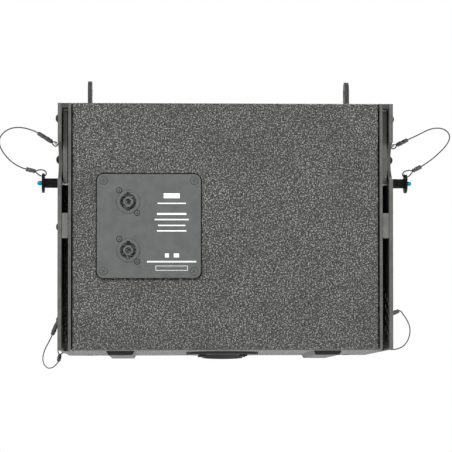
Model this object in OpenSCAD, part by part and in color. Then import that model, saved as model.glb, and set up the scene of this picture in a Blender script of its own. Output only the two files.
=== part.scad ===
// Compact passive line array speaker: trapezoid plywood cabinet, rear and front rigging,
// twist-lock input plate, 10 inch coaxial driver behind a perforated grille, pole socket below.
// x runs to the right seen from behind, y runs forward (the way it fires), z runs up.
// Inside the modules depth is counted from the rear face and height from the rear bottom edge.

/* [Cabinet] */
// Full width over the side rigging
cabinet_w = 356.4; // [340:0.1:380]
// Height of the rear face
rear_h = 261.3; // [250:0.1:280]
// Depth from the rear face to the front edge
cabinet_depth = 245; // [240:1:260]
// Slope of the top and of the underside
wedge = 5; // [2:0.5:6]
// Thickness of the top, bottom and rear boards
board_t = 15; // [12:1:18]
// Thickness of the side boards
side_t = 18; // [15:1:18]

/* [Rear rigging] */
// Half width of the rear panel between the rigging channels
rear_half_w = 162.7; // [160:0.1:164]
// Thickness of the outer rigging plate
outer_plate_t = 4; // [3:0.5:5]
// Thickness of the inner rigging plate
inner_plate_t = 3; // [2:0.5:3.5]
// Depth of the rear corner pockets
pocket_depth = 50; // [44:1:60]
// Thickness of the rear link bar
link_t = 5; // [4:0.5:5.5]
// Radius of the finger scallop in the outer plate
scallop_r = 19.5; // [15:0.5:22]

/* [Quick release pins] */
// Diameter of a pin's shank
pin_d = 8; // [6:0.5:8]
// Diameter of the fluted handle
handle_d = 10.3; // [9.5:0.1:12]
// Diameter of the lanyard flange on the handle
flange_d = 21; // [20:0.5:24]
// Diameter of the release button
button_d = 4.9; // [4:0.1:5.2]

/* [Front rigging] */
// Thickness of a front lug
lug_t = 5; // [4:0.5:6]
// Width of a front lug, which is also twice its top radius
lug_w = 22; // [18:1:24]
// Height of a lug over the cabinet's top
lug_rise = 26.5; // [20:0.5:30]

/* [Input plate] */
// Side of the square input plate
plate_side = 110; // [100:1:115]
// Distance between the two sockets' centres
socket_pitch = 51.5; // [40:0.5:56]

/* [Underside] */
// Bore of the pole socket
pole_bore_d = 36; // [35:0.5:38]
// Diameter of the pole socket's flange
pole_flange_d = 81; // [70:1:90]
// Height of a skid
skid_h = 4.5; // [3:0.5:6]

/* [Hidden] */
$fn = 48;
fit = 0.08;
fork_gap = 0.4;
slope = tan(wedge);
half_w = cabinet_w / 2;
mid_h = rear_h / 2;

// Rear rigging stack, from the cabinet wall outwards
outer_in = half_w - outer_plate_t;
inner_in = rear_half_w + 1.3;
inner_out = inner_in + inner_plate_t;
channel_mid = (inner_out + outer_in) / 2;
plate_depth = pocket_depth - 1;
pin_depth = 24;
pin_h = 177.2;
scallop_h = 200.9;
link_w = 26;
link_top = 255.8;
link_bottom = 176.4;
vernier_rows = 4;
bolt_places = [[14.5, 245.9], [26, 202.5], [26, 130.4]];
boss_places = [[14, 238], [26, 131], [26, 60]];

// Front rigging
lug_depth = 223;
lug_hole_rise = 12.7;
lug_x = 150.8;
channel_x = 146.4;
channel_wall = 3;
channel_d0 = lug_depth - 18;
channel_d1 = lug_depth + 18;
side_x = half_w - side_t;
lower_pin_h = -lug_depth * slope + lug_hole_rise;
lug_bolt_h = [200, 240];

// Input plate
plate_x = -81.7;
plate_h = 131;
socket_x = -103.6;
socket_h = [plate_h - socket_pitch / 2, plate_h + socket_pitch / 2];
socket_r = 12;
socket_screw = [9.5, 12];
plate_screw = 48;

// Driver, by depth
baffle_d = 205;
driver_r = 130;
driver_hole_r = 116;
magnet_r = 56;
coil_r = 32.5;

// Pole socket and skids
pole_depth = 105;
pole_wall = 5;
pole_length = 80;
pole_r = pole_bore_d / 2;
mouth_h = -(pole_depth + pole_r + pole_wall) * slope - 4.2;
skid_x = 113;
skid_d0 = 48;
skid_d1 = 205;

// Lanyards: wire, sleeves and eyes
wire_r = 0.75;
sleeve_r = 2;
anchor_out = 4.6;
anchor_ring_r = 2.7;
// Turn of each lower pin's eye towards the rear, from straight down
eye_tilt_left = 52;
eye_tilt_right = 80;

// Lanyard routes: [distance out from the side, depth, height], sleeve end to ferrule
route_upper_left = [
    [22.7, 24, 231.1], [31, 24, 234.6], [38, 23.5, 236.3], [45, 23, 236.7],
    [52, 22.5, 235.3], [58.3, 22, 231.6], [62.3, 22, 226.7], [63.5, 22, 222],
    [62.6, 22, 216.3], [59, 22.3, 209.5], [53, 22.8, 202.3], [46.5, 23.4, 197.2],
    [40.5, 23.8, 194.1], [35.3, 24, 192.3]
];
route_upper_right = [
    [19.6, 24, 224.9], [26, 24, 227.8], [33.5, 23.6, 231.5], [41.1, 23, 235.2],
    [47, 22.6, 236.9], [52.5, 22.2, 237.3], [58, 22, 236.2], [62.5, 22, 233],
    [64.6, 22, 228.6], [63.5, 22, 223.2], [59.5, 22.2, 217], [53.9, 22.6, 211.2],
    [47, 23.2, 204.9], [40.2, 23.7, 199.9], [34.1, 24, 195.9]
];
route_lower_left = [
    [11.7, 97, 11], [15.5, 102, 3.5], [19.5, 108, -3.6], [22.2, 115, -9.8],
    [23.9, 125, -16.4], [24.2, 135, -21.8], [23.3, 144, -25.8], [21, 156, -29.6],
    [18.2, 168, -30.8], [15.2, 180, -30], [12.6, 191, -27.6], [10.9, 200.6, -24.6]
];
route_lower_right = [
    [20.5, 99, 37.5], [26.5, 104, 32.3], [31.6, 111, 25.8], [35.3, 118, 19],
    [37.1, 126, 12.3], [37.3, 134, 6.3], [36.4, 143, 0.3], [34.2, 152, -4.5],
    [31, 161, -8], [27, 171, -10.2], [22.5, 181, -11.2], [19.3, 188.5, -11.4],
    [16.5, 195.7, -11.3]
];

// Upper and lower surface heights at a depth
function upper(d) = rear_h + d * slope;
function lower(d) = -d * slope;

// Moves the drawing frame's origin to the pole socket's mouth
module place() translate([0, -pole_depth, -mouth_h]) children();

// Mirrors a right-hand piece to the left when s is -1
module sided(s) mirror([s < 0 ? 1 : 0, 0, 0]) children();

// Extrudes an outline drawn as [depth, height] from x0 to x1
module across(x0, x1) translate([x0, 0, 0]) rotate([90, 0, 90]) linear_extrude(x1 - x0) children();

// Turns a shape drawn about z so that its z is the depth
module forward(x, h) translate([x, 0, h]) rotate([-90, 0, 0]) children();

// A cylinder along x from x0 to x1
module cross_rod(x0, x1, d, h, r) translate([x0, d, h]) rotate([0, 90, 0]) cylinder(h = x1 - x0, r = r);

// A straight round rod between two points
module rod(p, q, r) {
    v = q - p;
    length = norm(v);
    translate(p) rotate([0, acos(v[2] / length), atan2(v[1], v[0])]) cylinder(h = length, r = r);
}

// A block given by its low and high corners
module block(low, high) translate(low) cube(high - low);

// Outline of the sloped cabinet section between two depths, inset from top and bottom
module section(d0, d1, inset = 0) polygon([
    [d0, lower(d0) + inset], [d1, lower(d1) + inset],
    [d1, upper(d1) - inset], [d0, upper(d0) - inset]
]);

// ---- Cabinet boards ----

module rear_panel() color("#3c3c3b") place() difference() {
    across(-rear_half_w, rear_half_w) section(0, board_t);
    translate([plate_x, 2, plate_h - 0.7]) cube([plate_side + 2.6, 4.02, plate_side + 4], center = true);
    translate([plate_x, board_t / 2, plate_h]) cube([96, board_t * 2, 96], center = true);
}

// Top or bottom board: narrow between the rear sides, wide between the side boards
module flat_board(top) difference() {
    union() {
        across(-147.7, 147.7) board_outline(board_t, pocket_depth + board_t, top);
        across(-side_x, side_x) board_outline(pocket_depth + board_t, cabinet_depth, top);
    }
    for (s = [-1, 1])
        sided(s) block([channel_x, channel_d0, -60], [side_x + 1, channel_d1, rear_h + 60]);
}
module board_outline(d0, d1, top) polygon(top
    ? [[d0, upper(d0) - board_t], [d1, upper(d1) - board_t], [d1, upper(d1)], [d0, upper(d0)]]
    : [[d0, lower(d0)], [d1, lower(d1)], [d1, lower(d1) + board_t], [d0, lower(d0) + board_t]]);

module top_panel() color("#3a3a39") place() flat_board(true);

module bottom_panel() color("#3a3a39") place() difference() {
    flat_board(false);
    translate([0, pole_depth, -40]) cylinder(h = 60, r = pole_r + pole_wall);
}

module side_panel(s) color("#3b3b3a") place() sided(s) difference() {
    across(side_x, half_w) section(pocket_depth + board_t, cabinet_depth);
    cross_rod(side_x - 1, half_w + 1, lug_depth, lower_pin_h, pin_d / 2 + fit);
    for (h = lug_bolt_h) cross_rod(side_x - 1, side_x + 10, lug_depth, h, 4);
}
module side_panel_left() side_panel(-1);
module side_panel_right() side_panel(1);

// Wall beside the rear rigging with the return that closes the pocket
module rear_side(s) color("#353534") place() sided(s) difference() {
    union() {
        across(rear_half_w - board_t, rear_half_w) section(board_t, pocket_depth + board_t);
        across(rear_half_w, half_w) section(pocket_depth, pocket_depth + board_t);
    }
    cross_rod(rear_half_w - 6, rear_half_w + 1, pin_depth, pin_h, 5.5);
    cross_rod(rear_half_w - 12, rear_half_w + 1, bolt_places[2][0], bolt_places[2][1], 3);
}
module rear_side_left() rear_side(-1);
module rear_side_right() rear_side(1);

module baffle() color("#4d3f2c") place() difference() {
    across(-channel_x, channel_x) section(baffle_d, baffle_d + board_t, board_t);
    forward(0, mid_h) translate([0, 0, baffle_d - 1]) cylinder(h = board_t + 2, r = driver_hole_r);
    driver_screw_holes();
    for (s = [-1, 1], h = lug_bolt_h) sided(s) cross_rod(channel_x - 6, channel_x + 1, lug_depth, h, 7.5);
}
module driver_screw_holes(r = 2.3) forward(0, mid_h)
    for (i = [0:7]) rotate([0, 0, i * 45 + 22.5]) translate([122, 0, baffle_d - 1]) cylinder(h = 30, r = r);

// Window brace between the boards, with room for the driver
module brace() color("#6b5638") place() difference() {
    across(-side_x, side_x) section(158, 170, board_t);
    forward(0, mid_h) translate([0, 0, 150]) cylinder(h = 30, r = 118);
}

// Soft absorber sheets on the inside of the rear sides and the top
module damping_foam() color("#55554f") place() {
    for (s = [-1, 1])
        sided(s) block([side_x - 16, 80, 30], [side_x - 1, 150, rear_h - 30]);
    across(-120, 120) polygon([
        [40, upper(40) - board_t - 14], [150, upper(150) - board_t - 14],
        [150, upper(150) - board_t - 1], [40, upper(40) - board_t - 1]
    ]);
}

// ---- Rear rigging ----

// Vernier holes: three columns, each one step of 4 mm higher than the last
module vernier_holes(x0, x1) for (k = [0:2], n = [0:vernier_rows - 1])
    cross_rod(x0, x1, 6 + 12 * k, 12.3 + 4 * k + 12 * n, 3.25);

module inner_plate(s) color("#686865") place() sided(s) difference() {
    union() {
        across(inner_in, inner_out) section(0.4, plate_depth);
        for (b = boss_places) cross_rod(rear_half_w, inner_in, b[0], b[1], 7);
    }
    cross_rod(inner_in - 2, inner_out + 1, pin_depth, pin_h, pin_d / 2 + fit);
    cross_rod(rear_half_w - 1, inner_out + 1, bolt_places[2][0], bolt_places[2][1], 3);
    vernier_holes(inner_in - 1, inner_out + 1);
}
module inner_plate_left() inner_plate(-1);
module inner_plate_right() inner_plate(1);

module outer_plate(s) color("#6a6a67") place() sided(s) difference() {
    across(outer_in, half_w) section(0, pocket_depth);
    cross_rod(outer_in - 1, half_w + 1, 0, scallop_h, scallop_r);
    cross_rod(outer_in - 1, half_w + 1, pin_depth, pin_h, pin_d / 2 + fit);
    for (b = bolt_places) cross_rod(outer_in - 1, half_w + 1, b[0], b[1], 3);
    vernier_holes(outer_in - 1, half_w + 1);
}
module outer_plate_left() outer_plate(-1);
module outer_plate_right() outer_plate(1);

// Blocks that keep the two plates apart, one in each channel
module spacer_blocks() color("#8b8b88") place() for (s = [-1, 1]) sided(s) difference() {
    block([inner_out, 1, 118], [outer_in, 39, 144.8]);
    cross_rod(inner_out - 1, outer_in + 1, bolt_places[2][0], bolt_places[2][1], 3);
}

// Bridges at the head of each channel, behind and in front of the link bar
module top_guides() color("#2b2b2a") place() for (s = [-1, 1]) sided(s) {
    block([inner_out, 0.5, 256], [outer_in, 5, 261.2]);
    block([inner_out, 39.5, 225], [outer_in, 46, 261.2]);
}

// Button-head screws: two short ones in the outer plate, one through to the cabinet wall
module plate_bolts() color("#2a2a2a") place() for (s = [-1, 1]) sided(s)
    for (i = [0:2]) {
        inner_end = i < 2 ? outer_in + 0.2 : rear_half_w - 11.5;
        cross_rod(inner_end, half_w, bolt_places[i][0], bolt_places[i][1], 2.95);
        translate([half_w, bolt_places[i][0], bolt_places[i][1]]) rotate([0, 90, 0]) difference() {
            rotate_extrude() intersection() {
                translate([0, -1.9]) circle(r = 5.2);
                square([4.6, 3.3]);
            }
            translate([0, 0, 1.6]) cylinder(h = 3, r = 1.6, $fn = 6);
        }
    }

// Link bar: hole near the top, square fork over the upper pin at the bottom
module link_bar(s) color("#8f8f8c") place() sided(s) difference() {
    across(channel_mid - link_t / 2, channel_mid + link_t / 2) union() {
        translate([pin_depth - link_w / 2, link_bottom]) square([link_w, link_top - link_bottom - 4]);
        translate([pin_depth - link_w / 2 + 4, link_bottom]) square([link_w - 8, link_top - link_bottom]);
        for (e = [-1, 1])
            translate([pin_depth + e * (link_w / 2 - 4), link_top - 4]) circle(r = 4);
    }
    translate([channel_mid - 5, pin_depth - pin_d / 2 - fork_gap, link_bottom - 1])
        cube([10, pin_d + 2 * fork_gap, pin_h + pin_d / 2 + fork_gap - link_bottom + 1]);
    cross_rod(channel_mid - 5, channel_mid + 5, pin_depth, link_top - 12, pin_d / 2 + fit);
}
module link_bar_left() link_bar(-1);
module link_bar_right() link_bar(1);

// ---- Front rigging ----

module front_channel(s) color("#3b3b3a") place() sided(s) difference() {
    across(channel_x, side_x) section(channel_d0, channel_d1);
    block([channel_x + channel_wall, channel_d0 + channel_wall, -60],
          [side_x - channel_wall, channel_d1 - channel_wall, rear_h + 60]);
    cross_rod(channel_x - 1, side_x + 1, lug_depth, lower_pin_h, pin_d / 2 + fit);
    for (h = lug_bolt_h) cross_rod(channel_x - 1, side_x + 1, lug_depth, h, 4);
}
module front_channel_left() front_channel(-1);
module front_channel_right() front_channel(1);

module front_lug(s) color("#3a3a39") place() sided(s) difference() {
    top = upper(lug_depth) + lug_rise;
    union() {
        across(lug_x, lug_x + lug_t) {
            translate([lug_depth - lug_w / 2, 185]) square([lug_w, top - lug_w / 2 - 185]);
            translate([lug_depth, top - lug_w / 2]) circle(r = lug_w / 2);
        }
        for (h = lug_bolt_h)
            cross_rod(channel_x + channel_wall, side_x - channel_wall, lug_depth, h, 8);
    }
    cross_rod(channel_x, side_x, lug_depth, upper(lug_depth) + lug_hole_rise, pin_d / 2 + fit);
    for (h = lug_bolt_h) cross_rod(channel_x, side_x, lug_depth, h, 4);
}
module front_lug_left() front_lug(-1);
module front_lug_right() front_lug(1);

module lug_bolts() color("#9a9a98") place() for (s = [-1, 1], h = lug_bolt_h) sided(s) {
    cross_rod(channel_x, side_x + 10, lug_depth, h, 3.95);
    cross_rod(channel_x - 5, channel_x, lug_depth, h, 6.5);
}

// ---- Input plate ----

module plate_outline(side, r) {
    square([side, side - 2 * r], center = true);
    square([side - 2 * r, side], center = true);
    for (a = [-1, 1], b = [-1, 1])
        translate([a * (side / 2 - r), b * (side / 2 - r)]) circle(r = r);
}

module connector_plate() color("#6e6f6e") place() difference() {
    forward(plate_x, plate_h) translate([0, 0, 0.5]) linear_extrude(2) plate_outline(plate_side, 7);
    for (h = socket_h) forward(socket_x, h) {
        cylinder(h = 4, r = socket_r + 0.05);
        for (a = [-1, 1])
            translate([a * socket_screw[0], a * socket_screw[1], 0]) cylinder(h = 4, r = 1.6);
    }
    plate_screw_places() cylinder(h = 4, r = 2.1);
}
module plate_screw_places() for (a = [-1, 1], b = [-1, 1])
    forward(plate_x + a * plate_screw, plate_h + b * plate_screw) children();

module connector_gasket() color("#1c1c1c") place() difference() {
    forward(plate_x, plate_h) translate([0, 0, 2.5]) linear_extrude(1.5) plate_outline(108, 6);
    translate([plate_x, 3, plate_h]) cube([93, 6, 93], center = true);
    plate_screw_places() cylinder(h = 6, r = 2.1);
}

// Countersunk screws of the plate and the small screws of the sockets
module connector_screws() color("#1d1d1d") place() {
    plate_screw_places() {
        translate([0, 0, -0.4]) cylinder(h = 0.9, r = 4);
        translate([0, 0, 0.5]) cylinder(h = 3.5, r = 2);
    }
    for (h = socket_h, a = [-1, 1]) forward(socket_x, h)
        translate([a * socket_screw[0], a * socket_screw[1], 0]) {
            translate([0, 0, -1.1]) cylinder(h = 1.6, r = 2.7);
            translate([0, 0, 0.5]) cylinder(h = 4.3, r = 1.5);
        }
}

// Twist-lock chassis socket: round front, ring-shaped well with two keyways, flange behind
module speaker_socket(h) color("#232323") place() difference() {
    forward(socket_x, h) {
        translate([0, 0, -0.6]) cylinder(h = 3.2, r = socket_r);
        translate([-13, -15.5, 2.5]) cube([26, 31, 3]);
        translate([0, 0, 2.5]) cylinder(h = 27.5, r = 11.5);
    }
    forward(socket_x, h) {
        translate([0, 0, -1]) cylinder(h = 23, r = 8.7);
        for (a = [-1, 1]) translate([-1.8, a * 8.9 - 1, -1]) cube([3.6, 2, 19]);
        for (a = [-1, 1])
            translate([a * socket_screw[0], a * socket_screw[1], -2]) cylinder(h = 10, r = 1.55);
    }
}
module socket_upper() speaker_socket(socket_h[1]);
module socket_lower() speaker_socket(socket_h[0]);

// Contact carriers that stand in the sockets' wells
module socket_cores() color("#55565a") place() for (h = socket_h) forward(socket_x, h)
    difference() {
        translate([0, 0, 0.8]) cylinder(h = 21.2, r = 5.5);
        translate([0, 0, 0]) cylinder(h = 18, r = 3.25);
        for (i = [0:3]) rotate([0, 0, 45 + i * 90]) translate([5.7, 0, 0]) cylinder(h = 14, r = 1);
    }

module crossover_board() color("#2f5a3a") place()
    block([30, board_t + 8, 60], [130, board_t + 9.6, 190]);

// Two air coils, three capacitors, two resistors and the board's standoffs
module crossover_parts() color("#b5702e") place() {
    for (h = [85, 165]) forward(60, h) translate([0, 0, board_t + 9.6]) difference() {
        cylinder(h = 18, r = 19);
        translate([0, 0, -1]) cylinder(h = 20, r = 8);
    }
    for (h = [80, 110, 140]) translate([92, board_t + 18.6, h]) rotate([0, 90, 0]) cylinder(h = 32, r = 9);
    for (h = [165, 178]) block([92, board_t + 9.6, h], [126, board_t + 17, h + 8]);
    for (x = [36, 124], h = [66, 184]) forward(x, h) translate([0, 0, board_t]) cylinder(h = 8, r = 3);
}

// Bundled leads from the sockets to the board and on to the driver
module wiring_loom() color("#8a2f2a") place() {
    points = [
        [socket_x, 32, plate_h], [socket_x, 44, plate_h], [-40, 60, 104],
        [30, 62, 104], [112, 50, 126], [112, 26, 126]
    ];
    for (i = [0:len(points) - 2]) rod(points[i], points[i + 1], 2.5);
    for (i = [1:len(points) - 2]) translate(points[i]) sphere(r = 2.5);
}

// ---- Coaxial driver, drawn about its axis ----

module woofer_basket() color("#2c2c2c") place() difference() {
    forward(0, mid_h) difference() {
        rotate_extrude() polygon([
            [111, 224], [driver_r, 224], [driver_r, 220], [115, 220], [115, 208],
            [62, 158], [62, 146], [40, 146], [40, 150], [57, 150], [57, 161], [111, 212]
        ]);
        for (i = [0:5]) rotate([0, 0, i * 60]) translate([64, -22, 166]) cube([60, 44, 36]);
    }
    driver_screw_holes(2.4);
}

module woofer_magnet() color("#4a4a4c") place() forward(0, mid_h) rotate_extrude() polygon([
    [18, 100], [magnet_r, 100], [magnet_r, 146], [coil_r + 3, 146], [coil_r + 3, 118],
    [coil_r - 1, 118], [coil_r - 1, 146], [18, 146]
]);

module voice_coil() color("#a8642c") place() forward(0, mid_h) rotate_extrude() polygon([
    [coil_r, 124], [coil_r + 1.8, 124], [coil_r + 1.8, 140], [coil_r + 0.8, 140],
    [coil_r + 0.8, 181], [coil_r, 181]
]);

module woofer_cone() color("#1e1e1e") place() forward(0, mid_h) rotate_extrude() polygon([
    [coil_r + 0.8, 174], [104, 214], [104, 215.2], [coil_r + 0.8, 176]
]);

module surround() color("#161616") place() forward(0, mid_h) rotate_extrude() polygon(concat(
    [[104, 214.2], [104, 215.2]],
    [for (a = [0:15:180]) [110 - 4.5 * cos(a), 224.8 + 4.5 * sin(a)]],
    [[117, 224.8], [117, 224], [113.8, 224]],
    [for (a = [180:-15:0]) [110 - 3.8 * cos(a), 224.2 + 3.8 * sin(a)]]
));

module spider() color("#b79a5a") place() forward(0, mid_h) rotate_extrude() polygon([
    [coil_r + 0.8, 152.6], [40, 153.6], [46, 152.6], [52, 153.6], [57, 152.6],
    [57, 153.4], [52, 154.4], [46, 153.4], [40, 154.4], [coil_r + 0.8, 153.4]
]);

// Compression driver behind the magnet and its short horn through the pole
module hf_unit() color("#2a2a2c") place() forward(0, mid_h) rotate_extrude() polygon([
    [0, 66], [42, 66], [42, 99.9], [17.8, 99.9], [17.8, 150], [22, 180], [30, 208],
    [30, 212], [28, 212], [18, 178], [13, 150], [13, 100], [0, 100]
]);

module driver_screws() color("#202020") place() forward(0, mid_h)
    for (i = [0:7]) rotate([0, 0, i * 45 + 22.5]) translate([122, 0, 0]) {
        translate([0, 0, 224]) cylinder(h = 3, r = 4);
        translate([0, 0, baffle_d + 1]) cylinder(h = 223 - baffle_d, r = 2.2);
    }

// Grille sheet with returns folded back on all four sides
module grille() color("#222222") place() difference() {
    block([-145.8, 234, -4], [145.8, 243.5, 265]);
    block([-144.3, 233, -2.5], [144.3, 242, 263.5]);
    grille_screw_places() cylinder(h = 9, r = 2.1, center = true);
}
module grille_screw_places() for (s = [-1, 1], h = [20, mid_h, 241])
    translate([s * (channel_x - 0.4), 238.5, h]) rotate([0, 90 * s, 0]) children();

module grille_foam() color("#151515") place() block([-140.5, 239, -2.2], [140.5, 241.9, 263.2]);

// Small screws that fix the returns to the front channels
module grille_screws() color("#1d1d1d") place() grille_screw_places() {
    translate([0, 0, -1.7]) cylinder(h = 2.1, r = 1.9);
    translate([0, 0, -2.9]) cylinder(h = 1.2, r = 3);
}

// ---- Underside ----

// Skid with chamfered sides, laid along the sloped underside
module skids() color("#181818") place() for (s = [-1, 1]) sided(s) difference() {
    translate([skid_x, 0, 0]) rotate([-wedge, 0, 0]) rotate([-90, 0, 0]) {
        translate([0, 0, skid_d0]) linear_extrude(skid_d1 - skid_d0)
            polygon([[-15.5, 0], [15.5, 0], [13, skid_h], [-13, skid_h]]);
    }
    for (d = [70, 183]) skid_screw_place(d) translate([0, 0, -8]) cylinder(h = 16, r = 3.6);
}
module skid_screw_place(d) translate([skid_x, 0, 0]) rotate([-wedge, 0, 0]) translate([0, d, 0]) children();

// Pole socket: tube down from a closed top, flange on the sloped underside
module pole_socket() color("#1f1f1f") place() difference() {
    union() {
        translate([0, pole_depth, mouth_h]) cylinder(h = pole_length + 4, r = pole_r + pole_wall - 0.1);
        rotate([-wedge, 0, 0]) translate([0, pole_depth / cos(wedge), -3])
            cylinder(h = 3, r = pole_flange_d / 2);
    }
    translate([0, pole_depth, mouth_h - 10]) cylinder(h = pole_length + 10, r = pole_r);
    rotate([-wedge, 0, 0]) for (i = [0:3]) pole_screw_place(i) translate([0, 0, -8]) cylinder(h = 12, r = 2.6);
}
module pole_screw_place(i) translate([0, pole_depth / cos(wedge), 0])
    rotate([0, 0, 45 + i * 90]) translate([32, 0, 0]) children();

// Screws of the skids and of the pole socket's flange
module underside_screws() color("#2a2a2a") place() {
    for (s = [-1, 1], d = [70, 183]) sided(s) skid_screw_place(d)
        translate([0, 0, -3.5]) cylinder(h = 3.5, r = 3.5);
    rotate([-wedge, 0, 0]) for (i = [0:3]) pole_screw_place(i) {
        translate([0, 0, -5]) cylinder(h = 2, r = 4.4);
        translate([0, 0, -3]) cylinder(h = 3, r = 2.5);
    }
}

// ---- Quick release pins ----

// Pin drawn along z: z = 0 on the cabinet's side, shank below, handle above
module pin(shank, handle, ear_turn) difference() {
    union() {
        translate([0, 0, -shank]) cylinder(h = shank, r = pin_d / 2);
        difference() {
            cylinder(h = handle, r = handle_d / 2);
            for (i = [0:7]) rotate([0, 0, i * 45 + 22.5]) translate([handle_d / 2 + 0.5, 0, 2])
                cylinder(h = handle - 3, r = 1.1);
        }
        translate([0, 0, handle]) cylinder(h = 2.4, r = flange_d / 2);
    }
    translate([0, 0, handle - 3.4]) cylinder(h = 10, r = button_d / 2 + fit);
    rotate([0, 0, ear_turn]) translate([7.6, 0, handle - 0.5]) cylinder(h = 4, r = 2.1);
}
// Places a pin on the right-hand side with its z axis pointing outwards
module outward(d, h) translate([half_w, d, h]) rotate([0, 90, 0]) children();

// ear_turn 180 points the flange's hole up, 0 down
module upper_pin(s) color("#1f1f1e") place() sided(s) outward(pin_depth, pin_h)
    pin(half_w - rear_half_w + 5, 15.4, 180);
module lower_pin(s, ear_turn) color("#1f1f1e") place() sided(s) outward(lug_depth, lower_pin_h)
    pin(half_w - channel_x - 0.5, 5.4, ear_turn);
module upper_pin_left() upper_pin(-1);
module upper_pin_right() upper_pin(1);
module lower_pin_left() lower_pin(-1, -eye_tilt_left);
module lower_pin_right() lower_pin(1, -eye_tilt_right);

// Release button: domed head and stem in the handle's bore
module button(handle, proud) translate([0, 0, handle + 2.4]) {
    translate([0, 0, -3]) cylinder(h = 3 + proud - button_d / 2, r = button_d / 2);
    translate([0, 0, proud - button_d / 2]) sphere(r = button_d / 2);
}
module upper_button(s) color("#2a9fc0") place() sided(s) outward(pin_depth, pin_h) button(15.4, 5.4);
module lower_button(s) color("#2a9fc0") place() sided(s) outward(lug_depth, lower_pin_h) button(5.4, 4);
module upper_button_left() upper_button(-1);
module upper_button_right() upper_button(1);
module lower_button_left() lower_button(-1);
module lower_button_right() lower_button(1);

// ---- Lanyards ----

// Ring of wire whose plane holds x and the direction turned by tilt from straight up
module wire_ring(out, d, h, r, tilt) translate([half_w + out, d, h])
    rotate([90 - tilt, 0, 0]) rotate_extrude() translate([r, 0]) circle(r = wire_r, $fn = 16);

// Staple on a side face: two legs and a bridge for a lanyard's ring
module staple(d, h, tilt) translate([half_w, d, h]) rotate([-tilt, 0, 0]) {
    for (e = [-1, 1]) translate([0, e * 3.2, 0]) rotate([0, 90, 0]) cylinder(h = 3.8, r = 0.8);
    translate([3.8, -4, 0]) rotate([-90, 0, 0]) cylinder(h = 8, r = 0.8);
}

// Foot plates and staples: on the rear plates above, on the side boards below
module lanyard_anchors() color("#2a2a2a") place() {
    sided(-1) staple(pin_depth, 219.5, 0);
    sided(1) staple(pin_depth, 217.5, 0);
    sided(-1) staple(92, 28, 163.6);
    sided(1) staple(92, 31, 47);
}

// Tube of 8 sides swept through a route, [out, depth, height] points
function route_point(p) = [half_w + p[0], p[1], p[2]];
function unit(v) = v / norm(v);
function tangent(route, i) = unit(
    route_point(route[min(i + 1, len(route) - 1)]) - route_point(route[max(i - 1, 0)]));
function side_of(t) = unit(cross(t, unit([0.31, 0.82, 0.48])));
module wire(route) {
    sides = 8;
    count = len(route);
    ring_points = [for (i = [0:count - 1], k = [0:sides - 1])
        let (t = tangent(route, i), u = side_of(t), v = cross(t, u), a = 360 * k / sides)
        route_point(route[i]) + wire_r * (u * cos(a) + v * sin(a))];
    walls = [for (i = [0:count - 2], k = [0:sides - 1])
        let (n = (k + 1) % sides)
        [i * sides + k, i * sides + n, (i + 1) * sides + n, (i + 1) * sides + k]];
    near_cap = [for (k = [sides - 1:-1:0]) k];
    far_cap = [for (k = [0:sides - 1]) (count - 1) * sides + k];
    polyhedron(points = ring_points, faces = concat([far_cap, near_cap], [for (f = walls) [f[3], f[2], f[1], f[0]]]));
}

// Whole lanyard: anchor ring and sleeve, wire, ferrule and the eye on the pin's flange
module lanyard(route, anchor, anchor_tilt, eye, eye_r, eye_tilt) {
    last = len(route) - 1;
    a = route_point(anchor);
    start = route_point(route[0]);
    e = route_point(eye);
    finish = route_point(route[last]);
    wire_ring(anchor[0], anchor[1], anchor[2], anchor_ring_r, anchor_tilt);
    rod(a + unit(start - a) * (anchor_ring_r + 0.4), start, sleeve_r);
    wire(route);
    rod(e + unit(finish - e) * (eye_r + 0.4), finish, sleeve_r);
    wire_ring(eye[0], eye[1], eye[2], eye_r, eye_tilt);
}

module lanyard_upper_left() color("#1c1c1c") place() sided(-1)
    lanyard(route_upper_left, [anchor_out, pin_depth, 219.5], 0, [19.4, pin_depth, pin_h + 11.2], 5, 0);
module lanyard_upper_right() color("#1c1c1c") place() sided(1)
    lanyard(route_upper_right, [anchor_out, pin_depth, 217.5], 0, [19.4, pin_depth, pin_h + 11.2], 5, 0);
module lanyard_lower_left() color("#1c1c1c") place() sided(-1)
    lanyard(route_lower_left, [anchor_out, 92, 28], 163.6,
        lower_eye(eye_tilt_left), 5.6, eye_tilt_left);
module lanyard_lower_right() color("#1c1c1c") place() sided(1)
    lanyard(route_lower_right, [anchor_out, 92, 31], 47,
        lower_eye(eye_tilt_right), 5.6, eye_tilt_right);
// Centre of a lower lanyard's eye, 12 from the pin's axis
function lower_eye(tilt) = [9.4, lug_depth - 12 * sin(tilt), lower_pin_h - 12 * cos(tilt)];

rear_panel();
top_panel();
bottom_panel();
side_panel_left();
side_panel_right();
rear_side_left();
rear_side_right();
baffle();
brace();
damping_foam();
inner_plate_left();
inner_plate_right();
outer_plate_left();
outer_plate_right();
spacer_blocks();
top_guides();
plate_bolts();
front_channel_left();
front_channel_right();
front_lug_left();
front_lug_right();
lug_bolts();
connector_plate();
connector_gasket();
connector_screws();
socket_upper();
socket_lower();
socket_cores();
crossover_board();
crossover_parts();
wiring_loom();
woofer_basket();
woofer_magnet();
woofer_cone();
voice_coil();
surround();
spider();
hf_unit();
driver_screws();
grille();
grille_foam();
grille_screws();
skids();
pole_socket();
underside_screws();
lanyard_anchors();
link_bar_left();
link_bar_right();
upper_pin_left();
upper_pin_right();
lower_pin_left();
lower_pin_right();
upper_button_left();
upper_button_right();
lower_button_left();
lower_button_right();
lanyard_upper_left();
lanyard_upper_right();
lanyard_lower_left();
lanyard_lower_right();
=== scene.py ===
"""Looks of a compact line array speaker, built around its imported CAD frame.

Units are metres in Blender and millimetres in the tables below. Depth is counted forward from
the rear face and height up from the rear bottom edge, as on a maker's drawing.
"""
import math

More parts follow.
